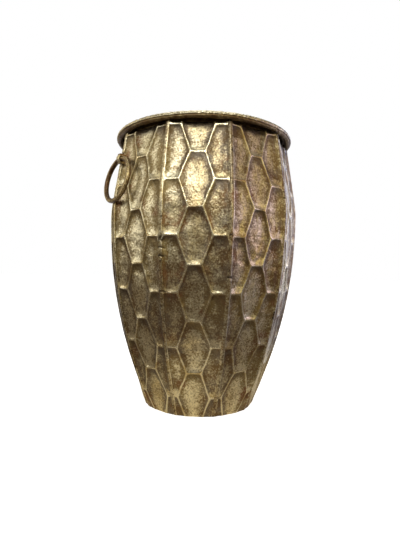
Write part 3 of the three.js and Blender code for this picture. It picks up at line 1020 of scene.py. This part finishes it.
# The room as the brass reflects it: azimuth from the camera's side and elevation in degrees,
# the cosines where a patch of light begins and is full, and its colour.
ROOM_PATCHES = [
    (70, 8, 0.60, 0.95, (0.34, 0.23, 0.18)),
    (-80, 16, 0.60, 0.95, (0.18, 0.135, 0.08)),
    (38, 12, 0.88, 0.98, (1.35, 1.15, 0.58)),
    (-56, 12, 0.92, 0.99, (0.78, 0.70, 0.48)),
    (-6, 30, 0.76, 0.95, (0.54, 0.53, 0.49)),
    (94, 8, 0.955, 0.995, (2.1, 1.8, 2.5)),
    (142, 6, 0.84, 0.97, (0.26, 0.30, 0.66)),
    (-120, 24, 0.92, 0.99, (1.1, 1.0, 0.75)),
    (-150, 5, 0.70, 0.97, (0.74, 0.65, 0.47)),
]
# Brightness of the rest of the room, from straight down (0) to straight up (1).
ROOM_LEVELS = [(0.0, 0.05), (0.46, 0.07), (0.56, 0.16), (0.70, 0.24), (1.0, 0.24)]
ROOM_WARMTH = (1.0, 0.97, 0.92)

FLOOR_REACH = 7.0
FLOOR_WHITE = (0.86, 0.86, 0.86)
FLOOR_GLOW = 0.85  # brings the floor up to the white of the background
FLOOR_DARK = (0.19, 0.155, 0.125)
FLOOR_WARM = (1.0, 0.93, 0.76)
FLOOR_COOL = (0.60, 0.64, 0.86)
FLOOR_AHEAD = (-0.25, -0.97, 0)  # the way the dark part of the floor lies
FLOOR_FRONT = (-0.48, 0.16)  # cosines from that way at which the floor begins to be dark, and is
FLOOR_FRONT_MIDDLE = (0.7, 0.97)
FLOOR_NEAR = (0.08, 0.17)  # distances from the pot's axis, in metres
FLOOR_FAR = (0.15, 0.27)
FLOOR_COOLS = (0.15, 0.3)

WHITE = (1.0, 1.0, 1.0)
POT_MIDDLE = (0, 0, 0.2)

# Name, place, aim, size, power and colour.
LIGHTS = [
    ("front_softbox", (-0.15, -1.5, 1.15), POT_MIDDLE, (0.8, 0.5), 7.5, WHITE),
    ("left_softbox", (-1.3, -0.35, 0.65), POT_MIDDLE, (0.4, 0.9), 2.5, WHITE),
    ("right_softbox", (1.25, 0.75, 0.4), POT_MIDDLE, (0.3, 1.0), 3.0, (0.82, 0.86, 1.0)),
    ("overhead", (0, 0.35, 1.6), (0, 0.05, 0), (1.0, 0.9), 6.0, WHITE),
]


def make_world():
    """A dim room with patches of light, seen only in reflections; the camera sees plain white."""
    world = bpy.data.worlds.new("studio")
    bpy.context.scene.world = world
    world.use_nodes = True
    n = Nodes(world.node_tree)
    toward = n.add("ShaderNodeTexCoord").outputs["Generated"]
    height = n.add("ShaderNodeSeparateXYZ", None, vector=toward).outputs["Z"]
    halved = n.add("ShaderNodeMath", {"operation": "MULTIPLY_ADD"}, i0=height, i1=0.5, i2=0.5)
    ramp = n.add("ShaderNodeValToRGB", None, fac=halved)
    stops = ramp.color_ramp.elements
    for index, (position, level) in enumerate(ROOM_LEVELS):
        stop = stops[index] if index < 2 else stops.new(position)
        stop.position = position
        stop.color = (*(level * share for share in ROOM_WARMTH), 1)
    colour = ramp.outputs[0]
    for azimuth, elevation, begins, full, light in ROOM_PATCHES:
        a, e = math.radians(azimuth), math.radians(elevation)
        centre = RIG @ Vector((math.sin(a) * math.cos(e), -math.cos(a) * math.cos(e), math.sin(e)))
        dot = n.add("ShaderNodeVectorMath", {"operation": "DOT_PRODUCT"}, i0=toward, i1=centre)
        colour = n.mix(n.steps(dot.outputs["Value"], begins, full), colour, light)
    room = n.add("ShaderNodeBackground", None, color=colour, strength=1.0)
    plain = n.add("ShaderNodeBackground", None, color=WHITE, strength=1.0)
    seen = n.add("ShaderNodeLightPath").outputs["Is Camera Ray"]
    both = n.add("ShaderNodeMixShader", None, i0=seen, i1=room, i2=plain)
    n.add("ShaderNodeOutputWorld", None, surface=both)


def make_floor():
    """A plain white floor. The brass mirrors it dark on the camera's side, and cooler further off."""
    mesh = bpy.data.meshes.new("floor")
    r = FLOOR_REACH
    mesh.from_pydata([(-r, -r, 0), (r, -r, 0), (r, r, 0), (-r, r, 0)], [], [(0, 1, 2, 3)])
    floor = bpy.data.objects.new("floor", mesh)
    bpy.context.scene.collection.objects.link(floor)
    material, n = new_material("floor_paint")
    path = n.add("ShaderNodeLightPath")
    mirrored = path.outputs["Is Glossy Ray"]
    where = object_place(n)
    away = n.add("ShaderNodeVectorMath", {"operation": "LENGTH"}, i0=where).outputs["Value"]
    ahead = RIG @ Vector(FLOOR_AHEAD)
    ahead = n.add("ShaderNodeVectorMath", {"operation": "DOT_PRODUCT"}, i0=where, i1=ahead).outputs["Value"]
    ahead = n.math("DIVIDE", ahead, away)
    front = n.steps(ahead, *FLOOR_FRONT)
    beside = n.math("SUBTRACT", 0.9, n.steps(ahead, *FLOOR_FRONT_MIDDLE))
    near = n.times(n.times(n.steps(away, *FLOOR_NEAR), beside), front)
    far = n.times(n.steps(away, *FLOOR_FAR), front)
    dim = n.times(n.math("MAXIMUM", far, near), mirrored)
    pale = n.add("ShaderNodeBsdfDiffuse", None, color=FLOOR_WHITE)
    dark = n.add("ShaderNodeBsdfDiffuse", None, color=FLOOR_DARK)
    tint = n.mix(n.steps(away, *FLOOR_COOLS), FLOOR_WARM, FLOOR_COOL)
    tinted = n.add("ShaderNodeBsdfDiffuse", None, color=tint)
    bounced = n.add("ShaderNodeMixShader", None, i0=mirrored, i1=pale, i2=tinted)
    both = n.add("ShaderNodeMixShader", None, i0=dim, i1=bounced, i2=dark)
    glow = n.add("ShaderNodeEmission", None, color=WHITE, strength=FLOOR_GLOW)
    lifted = n.add("ShaderNodeAddShader", None, i0=pale, i1=glow)
    seen = n.add("ShaderNodeMixShader", None, i0=path.outputs["Is Camera Ray"], i1=both, i2=lifted)
    n.add("ShaderNodeOutputMaterial", None, surface=seen)
    mesh.materials.append(material)


# ---------------------------------------------------------------- the whole scene
bpy.context.scene.view_settings.view_transform = "Standard"
make_camera()
make_world()
make_floor()
for light in LIGHTS:
    area_light(*light)

panel_finish = panel_brass()
rim_finish = worn_and_lit_brass("rim_brass_finish", (BROWN, OLIVE, BRIGHT), (0.64, 1.08), (0.22, 0.36))
pan_finish = worn_and_lit_brass("pan_brass_finish", (SOOT_AND_SHADE, BROWN, OLIVE), (0.55, 0.85), (0.45, 0.62))
staple_finish = worn_and_lit_brass("staple_brass_finish", (BROWN, OLIVE, BRIGHT), (0.62, 0.95), (0.3, 0.5))
ring_finish = worn_and_lit_brass("ring_brass_finish", (UMBER, BROWN, GOLD), (0.52, 0.86), (0.25, 0.34))
wire_finish = worn_and_lit_brass("wire_brass_finish", (BROWN, OLIVE, GOLD), (0.6, 0.9), (0.4, 0.55))

panels = make_panels(panel_finish)
cut_slots(panels)
make_hoop(rim_finish)
make_pan(pan_finish)
for side, label in ((-1, "left"), (1, "right")):
    make_staple(side, label, staple_finish)
    make_ring(side, label, ring_finish)

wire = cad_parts["rim_wire"]
wire.data.materials.clear()
wire.data.materials.append(wire_finish)
